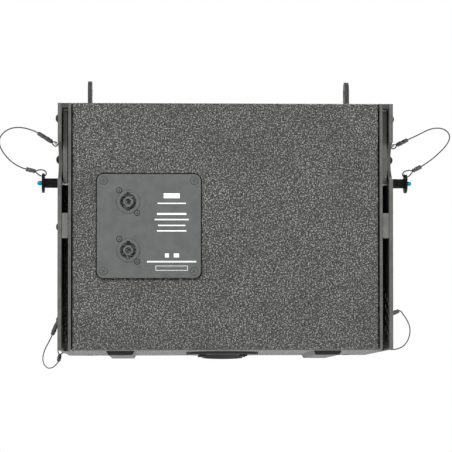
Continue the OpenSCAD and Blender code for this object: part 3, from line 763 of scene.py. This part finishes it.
def make_rear_panel():
    """Coated rear panel: a height field of pebbles with a rolled rim and the plate's recess.

    The front is a grid whose lines also pass along the recess. The rim turns from the face to
    the edge on a quarter circle, and the recess has straight walls and a floor.
    """
    px, pz = PLATE_CENTRE
    flat_w = PANEL_HALF_W - EDGE_ROLL
    work = bmesh.new()
    add_pebbled_face(work,
                     panel_lines(-flat_w, px - RECESS_HALF_W, px + RECESS_HALF_W, flat_w),
                     panel_lines(EDGE_ROLL, pz - RECESS_LOW, pz + RECESS_TOP, REAR_H - EDGE_ROLL))
    rim = [e for e in work.edges if len(e.link_faces) == 1]
    outer = [e for e in rim if not near_recess(e)]
    inner = [e for e in rim if near_recess(e)]
    turns = np.radians(np.linspace(0, 90, ROLL_STEPS + 1))
    for a, b in zip(turns[:-1], turns[1:]):
        out = EDGE_ROLL * (math.sin(b) - math.sin(a))
        back = EDGE_ROLL * (math.cos(a) - math.cos(b))
        outer = grow_rim(work, outer, out, back)
    outer = grow_rim(work, outer, 0, BOARD_T - EDGE_ROLL)
    inner = grow_rim(work, inner, 0, RECESS_DEPTH)
    bmesh.ops.triangle_fill(work, edges=outer, use_beauty=True)
    bmesh.ops.triangle_fill(work, edges=inner, use_beauty=True)
    bmesh.ops.recalc_face_normals(work, faces=work.faces)
    mesh = mesh_of(work, "rear_panel_coated")
    mesh.materials.append(FINISHES["coating"])
    mesh.shade_smooth()
    mesh.set_sharp_from_angle(angle=math.radians(60))
    made = link_new("rear_panel_coated", mesh)
    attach(made, "cabinet")
    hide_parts("rear_panel")


# ---------------------------------------------------------------- input plate

PLATE_FACE = 0.5
UNDER_FACE = 0.52
SCREW_FACE = 0.45
SCREW_OFFSET = 48.0
SOCKET_X = -103.6
SOCKET_HEIGHTS = (PLATE_CENTRE[1] - 25.75, PLATE_CENTRE[1] + 25.75)
SOCKET_SCREW = (9.5, 12.0)
SOCKET_WELL_R = 8.6
CROSS_HALF_W = 0.11
CROSS_REACH = 0.62
HEAD_DEPTH = 0.9


def cross_screw(centre, radius, dome, slot, turn):
    """Points and faces of a screw head seen along the depth: a dome with a cross recess.

    The head is a polar grid. Its height is dome times 1 - r squared, less a recess where
    either arm of the cross passes, which gets shallower towards the arm's end.
    """
    rings, spokes = 14, 56
    r = np.linspace(0.02, 1, rings)[:, None]
    t = np.linspace(0, 2 * math.pi, spokes, endpoint=False)[None, :]
    a, b = np.abs(r * np.cos(t + turn)), np.abs(r * np.sin(t + turn))
    first_arm = np.maximum(a / CROSS_HALF_W, b / CROSS_REACH)
    second_arm = np.maximum(b / CROSS_HALF_W, a / CROSS_REACH)
    cut = np.clip((1.15 - np.minimum(first_arm, second_arm)) / 0.3, 0, 1) * (1 - 0.75 * r)
    height = dome * (1 - r**2) - slot * cut
    x = centre[0] + radius * r * np.cos(t)
    z = centre[2] + radius * r * np.sin(t)
    top = np.stack([x, centre[1] - height, z], -1).reshape(-1, 3)
    skirt = top[-spokes:] + [0, HEAD_DEPTH, 0]
    points = np.vstack([top, skirt])
    faces = grid_faces(rings + 1, spokes, wrap=True).tolist()
    faces.append(list(range(spokes - 1, -1, -1)))
    base = rings * spokes
    faces.append(list(range(base, base + spokes)))
    return np.array([at(*p) for p in points]), faces


def join_shapes(shapes):
    """Stack (points, faces) shapes into one."""
    points, faces, start = [], [], 0
    for p, f in shapes:
        points.append(p)
        faces += [[start + i for i in face] for face in f]
        start += len(p)
    return np.vstack(points), faces


def box_shape(low, high):
    """Points and faces of a box between two corners given as [x, depth, height] in mm."""
    corners = [[x, d, h] for x in (low[0], high[0]) for d in (low[1], high[1])
               for h in (low[2], high[2])]
    faces = [[0, 1, 3, 2], [4, 6, 7, 5], [0, 4, 5, 1], [2, 3, 7, 6], [0, 2, 6, 4], [1, 5, 7, 3]]
    return np.array([at(*c) for c in corners]), faces


def make_recess_corners():
    """Coated fillets that round the recess's four corners to follow the plate's.

    Each is a prism between the square corner and a quarter circle of radius RECESS_CORNER_R.
    """
    shapes = []
    turn = np.radians(np.linspace(0, 90, 13))
    for a in (-1, 1):
        for b, reach in ((-1, RECESS_LOW), (1, RECESS_TOP)):
            corner = [PLATE_CENTRE[0] + a * RECESS_HALF_W, PLATE_CENTRE[1] + b * reach]
            arc = [[corner[0] - a * RECESS_CORNER_R * (1 - math.cos(t)),
                    corner[1] - b * RECESS_CORNER_R * (1 - math.sin(t))] for t in turn]
            outline = [corner] + arc
            points = np.array([at(x, d, h) for d in (0.1, RECESS_DEPTH) for x, h in outline])
            n = len(outline)
            faces = [[k + side * n for k in (0, i, i + 1)] for side in (0, 1) for i in range(1, n - 1)]
            faces += [[i, (i + 1) % n, n + (i + 1) % n, n + i] for i in range(n)]
            shapes.append((points, faces))
    points, faces = join_shapes(shapes)
    made = piece("recess_corners", points, faces, "coating", smooth=False)
    outward_faces(made)


def make_sockets():
    """Sockets with a black well inside a front ring in the plate's enamel."""
    for name, height in zip(("socket_lower", "socket_upper"), SOCKET_HEIGHTS):
        made = slotted(soften(name, 0.3, "socket", "cabinet"))
        made.data.materials.append(FINISHES["plate"])
        middle = at(SOCKET_X, PLATE_FACE, height)
        for face in made.data.polygons:
            corners = [made.data.vertices[k].co for k in face.vertices]
            nearest = min(math.hypot(c.x - middle[0], c.z - middle[2]) for c in corners)
            if nearest > SOCKET_WELL_R * MM and max(c.y for c in corners) < middle[1] + 0.2 * MM:
                face.material_index = 1


def ring_shape(centre, inner, outer):
    """Points and faces of a flat ring that faces the rear, from two circles at two depths."""
    sides = 48
    turn = np.linspace(0, 2 * math.pi, sides, endpoint=False)
    face = centre[1]
    corners = ((inner, face), (outer, face), (outer, UNDER_FACE), (inner, UNDER_FACE))
    points = [at(centre[0] + r * math.cos(t), d, centre[2] + r * math.sin(t))
              for r, d in corners for t in turn]
    faces = []
    for band in range(4):
        for k in range(sides):
            n, nxt = (k + 1) % sides, (band + 1) % 4
            faces.append([band * sides + k, band * sides + n, nxt * sides + n, nxt * sides + k])
    return np.array(points), faces


def plate_screw_spots(depth):
    """Centres of the plate's four corner screws."""
    px, pz = PLATE_CENTRE
    return [(px + a * SCREW_OFFSET, depth, pz + b * SCREW_OFFSET) for a in (-1, 1) for b in (-1, 1)]


def socket_screw_spots(depth):
    """Centres of the two screws of each socket, the lower socket's first."""
    dx, dz = SOCKET_SCREW
    return [(SOCKET_X + a * dx, depth, height - a * dz) for height in SOCKET_HEIGHTS for a in (-1, 1)]


def make_screw_gap_shade():
    """Flat near-black rings laid on the plate round the heads of its screws: painted shade of the
    countersink gaps.
    """
    shapes = [ring_shape(spot, 3.75, 4.3) for spot in plate_screw_spots(0.44)]
    shapes += [ring_shape(spot, 2.0, 3.1) for spot in socket_screw_spots(0.3)]
    points, faces = join_shapes(shapes)
    made = piece("screw_gap_shade", points, faces, "socket", smooth=False)
    outward_faces(made)


def make_plate_screws():
    """Cross-recessed heads of the plate's and the sockets' screws, each turned its own way."""
    shapes = []
    for k, spot in enumerate(plate_screw_spots(SCREW_FACE)):
        shapes.append(cross_screw(spot, 4.0, 0.35, 0.8, 0.5 + 0.9 * k))
    for k, spot in enumerate(socket_screw_spots(SCREW_FACE)):
        turn = 0.3 + 0.7 * (k // 2) + 2 * (k % 2) - 1
        shapes.append(cross_screw(spot, 2.8, 0.7, 0.9, turn))
    points, faces = join_shapes(shapes)
    made = piece("plate_screw_heads", points, faces, "plate")
    outward_faces(made)
    made.data.set_sharp_from_angle(angle=math.radians(40))
    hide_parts("connector_screws")


# White rules of the plate: [centre x from the print's middle, height, width, thickness] in mm
RULES = [
    [0, 163, 17, 5.2], [0, 155, 30, 1.2],
    [0, 143.8, 31, 2.0], [0, 137.8, 36, 1.3], [0, 131.6, 29, 1.3], [0, 125.8, 31, 1.3],
    [-5, 99.8, 4.2, 4.2], [5, 99.8, 5.6, 4.2], [0, 93.2, 52, 1.5],
]
PRINT_X = -57.6
PRINT_PROUD = 0.04
LABEL_HALF_W = 17
LABEL_LOW = 83.8
LABEL_HIGH = 88.8
LABEL_LINE = 0.4


def inked_box(x0, x1, low, high):
    """A thin box of ink, with x counted from the print's middle."""
    return box_shape([PRINT_X + x0, PLATE_FACE - PRINT_PROUD, low], [PRINT_X + x1, UNDER_FACE, high])


def make_print():
    """Plain printed rules, and a thin frame for the serial label, all without lettering."""
    shapes = [inked_box(x - w / 2, x + w / 2, h - t / 2, h + t / 2) for x, h, w, t in RULES]
    outer, inner = LABEL_HALF_W, LABEL_HALF_W - LABEL_LINE
    low, high = LABEL_LOW + LABEL_LINE, LABEL_HIGH - LABEL_LINE
    shapes += [inked_box(-outer, outer, high, LABEL_HIGH), inked_box(-outer, outer, LABEL_LOW, low),
               inked_box(-outer, -inner, low, high), inked_box(inner, outer, low, high)]
    points, faces = join_shapes(shapes)
    made = piece("plate_rules", points, faces, "ink", smooth=False)
    outward_faces(made)


# ---------------------------------------------------------------- hardware

# Rounding in mm, finish and slot of each part that stands on both sides
SIDE_PARTS = {
    "outer_plate": (0.45, "rigging", "rigging_steel"),
    "inner_plate": (0.4, "rigging", "rigging_steel"),
    "link_bar": (0.6, "link", "link_steel"),
    "front_channel": (0.5, "black_coat", "rigging_steel"),
    "front_lug": (0.7, "black_coat", "rigging_steel"),
}

# The same of each node that stands once
SINGLE_PARTS = {
    "spacer_blocks": (0.5, "link", "link_steel"),
    "top_guides": (0.5, "black_coat", "black_nylon"),
    "plate_bolts": (0.15, "screws", "black_screws"),
    "connector_plate": (0.35, "plate", "input_plate_paint"),
    "socket_cores": (0.35, "core", "core_plastic"),
    "skids": (0.8, "skid", "skid_plastic"),
    "pole_socket": (0.7, "black_coat", "pole_socket_metal"),
}


def make_hardware():
    """Rounded copies of the rigging, the plate and the fittings, with the pins and buttons."""
    for side in ("left", "right"):
        for part, (rounding, finish, slot) in SIDE_PARTS.items():
            body = f"link_{side}" if part == "link_bar" else "cabinet"
            slotted(soften(f"{part}_{side}", rounding, finish, body))
        for level in ("upper", "lower"):
            make_pin(level, side)
            finish_node(f"{level}_button_{side}", "button")
    for part, (rounding, finish, slot) in SINGLE_PARTS.items():
        slotted(soften(part, rounding, finish, "cabinet"))


def make_pin(level, side):
    """Quick release pin: black handle and flange outside the cabinet's side, steel shank inside."""
    name = f"{level}_pin_{side}"
    made = soften(name, 0.3, "handle", name + "_body")
    made.data.materials.append(FINISHES["shank"])
    count = len(made.data.polygons)
    centres = np.empty(count * 3, np.float32)
    made.data.polygons.foreach_get("center", centres)
    shank = np.abs(centres[0::3]) < (SIDE_X - 0.1) * MM
    made.data.polygons.foreach_set("material_index", shank.astype(np.int32))


# ---------------------------------------------------------------- grille

HOLE_D = 5.0
HOLE_PITCH = 7.5
ROW_PITCH = 6.5
GRILLE_T = 1.5
GRILLE_BORDER = 2.5
OUTLINE_POINTS = 8
HOLE_POINTS = 16


def hole_cell(x, z, depth):
    """A rectangle of sheet round one hole, front and back, as points and faces.

    The hole has twice the outline's points, so each outline edge faces two hole edges.
    """
    w, h = HOLE_PITCH / 2, ROW_PITCH / 2
    outline = np.array([[w, 0], [w, h], [0, h], [-w, h], [-w, 0], [-w, -h], [0, -h], [w, -h]])
    turn = np.arange(HOLE_POINTS) / HOLE_POINTS * 2 * math.pi
    hole = np.stack([np.cos(turn), np.sin(turn)], 1) * HOLE_D / 2
    flat = np.vstack([outline, hole]) + [x, z]
    points = [at(a, d, b) for d in (depth, depth - GRILLE_T) for a, b in flat]
    per_side = OUTLINE_POINTS + HOLE_POINTS
    faces = []
    for k in range(OUTLINE_POINTS):
        n = (k + 1) % OUTLINE_POINTS
        first, middle, last = (OUTLINE_POINTS + (2 * k + i) % HOLE_POINTS for i in range(3))
        front = [k, n, last, middle, first]
        faces += [front[::-1], [per_side + i for i in front]]
    for k in range(HOLE_POINTS):
        a, b = OUTLINE_POINTS + k, OUTLINE_POINTS + (k + 1) % HOLE_POINTS
        faces.append([a, b, per_side + b, per_side + a])
    return np.array(points), faces


def make_grille():
    """Perforated sheet with holes in staggered rows, a plain border and folded returns."""
    low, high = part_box("grille")
    half_w, top, bottom = high.x / MM, (high.z - BASE_Z) / MM, (low.z - BASE_Z) / MM
    front = (high.y - REAR_Y) / MM
    back = (low.y - REAR_Y) / MM
    columns = int((2 * half_w - 2 * GRILLE_BORDER) // HOLE_PITCH)
    rows = int((top - bottom - 2 * GRILLE_BORDER) // ROW_PITCH)
    wide, tall = columns * HOLE_PITCH / 2, rows * ROW_PITCH / 2
    middle = (top + bottom) / 2
    shapes = []
    for row in range(rows):
        z = middle - tall + (row + 0.5) * ROW_PITCH
        odd = row % 2
        for k in range(columns - odd):
            shapes.append(hole_cell(-wide + (k + 0.5 + odd / 2) * HOLE_PITCH, z, front))
        if odd:
            for s in (-1, 1):
                ends = sorted((s * wide, s * (wide - HOLE_PITCH / 2)))
                shapes.append(box_shape([ends[0], front - GRILLE_T, z - ROW_PITCH / 2],
                                        [ends[1], front, z + ROW_PITCH / 2]))
    border = ((-half_w, -wide, bottom, top), (wide, half_w, bottom, top),
              (-wide, wide, bottom, middle - tall), (-wide, wide, middle + tall, top))
    for left, right, low_edge, high_edge in border:
        shapes.append(box_shape([left, front - GRILLE_T, low_edge], [right, front, high_edge]))
    returns = ((-half_w, -half_w + GRILLE_T, bottom, top), (half_w - GRILLE_T, half_w, bottom, top),
               (-half_w, half_w, bottom, bottom + GRILLE_T), (-half_w, half_w, top - GRILLE_T, top))
    for left, right, low_edge, high_edge in returns:
        shapes.append(box_shape([left, back, low_edge], [right, front - GRILLE_T, high_edge]))
    points, faces = join_shapes(shapes)
    made = piece("perforated_grille", points, faces, "grille", smooth=False)
    work = bmesh.new()
    work.from_mesh(made.data)
    bmesh.ops.remove_doubles(work, verts=work.verts, dist=1e-6)
    work.to_mesh(made.data)
    work.free()
    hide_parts("grille")


PLAIN_FINISHES = {
    "baffle": "plywood", "brace": "plywood", "damping_foam": "absorber",
    "lug_bolts": "zinc", "connector_gasket": "rubber", "crossover_board": "board",
    "crossover_parts": "parts", "wiring_loom": "loom", "woofer_basket": "black_coat",
    "woofer_magnet": "zinc", "woofer_cone": "cone", "voice_coil": "parts",
    "surround": "surround", "spider": "spider", "hf_unit": "socket",
    "driver_screws": "screws", "grille_foam": "grille_foam", "grille_screws": "screws",
    "underside_screws": "screws", "lanyard_anchors": "zinc",
}


make_camera()
for lanyard_name, facts in LANYARDS.items():
    make_lanyard(lanyard_name, **facts)
light_studio()
make_stage()
make_cabinet_shell()
make_rear_panel()
make_recess_corners()
make_plate_screws()
make_screw_gap_shade()
make_sockets()
make_print()
make_hardware()
make_grille()
for node_name, finish_name in PLAIN_FINISHES.items():
    finish_node(node_name, finish_name)
